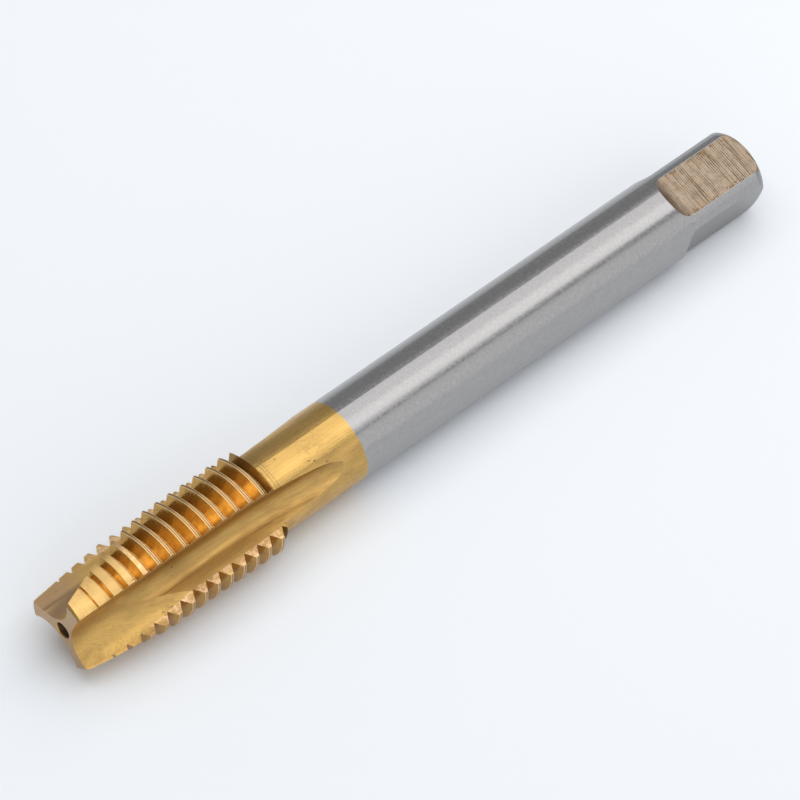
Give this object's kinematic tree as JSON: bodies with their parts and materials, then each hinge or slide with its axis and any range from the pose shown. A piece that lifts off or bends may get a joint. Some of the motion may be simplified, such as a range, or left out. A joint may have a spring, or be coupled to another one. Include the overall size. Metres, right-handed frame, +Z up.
{
  "type": "thread tap",
  "caption": "Long straight-fluted machine tap with a spiral point, plain shank and driving square, for cutting a right-hand thread in a drilled hole.",
  "frame": {"origin": "the middle of the tap's outer box, on the surface that it lies on", "axes": "+X along the tap from the cutting tip to the driving square, +Z up from the surface; the tap's own axis dips 0.66 degrees towards the square, because the tap lies on its thread in front and on its thinner shank behind"},
  "size_m": [0.1101, 0.014, 0.0135],
  "materials": {
    "tool_steel": "ground high-speed steel, with a thin worn gold-coloured coating on the threaded and fluted front 43 mm and bare grey ground steel behind it"
  },
  "bodies": {
    "root": {"thread_tap": "tool_steel"}
  },
  "joints": []
}
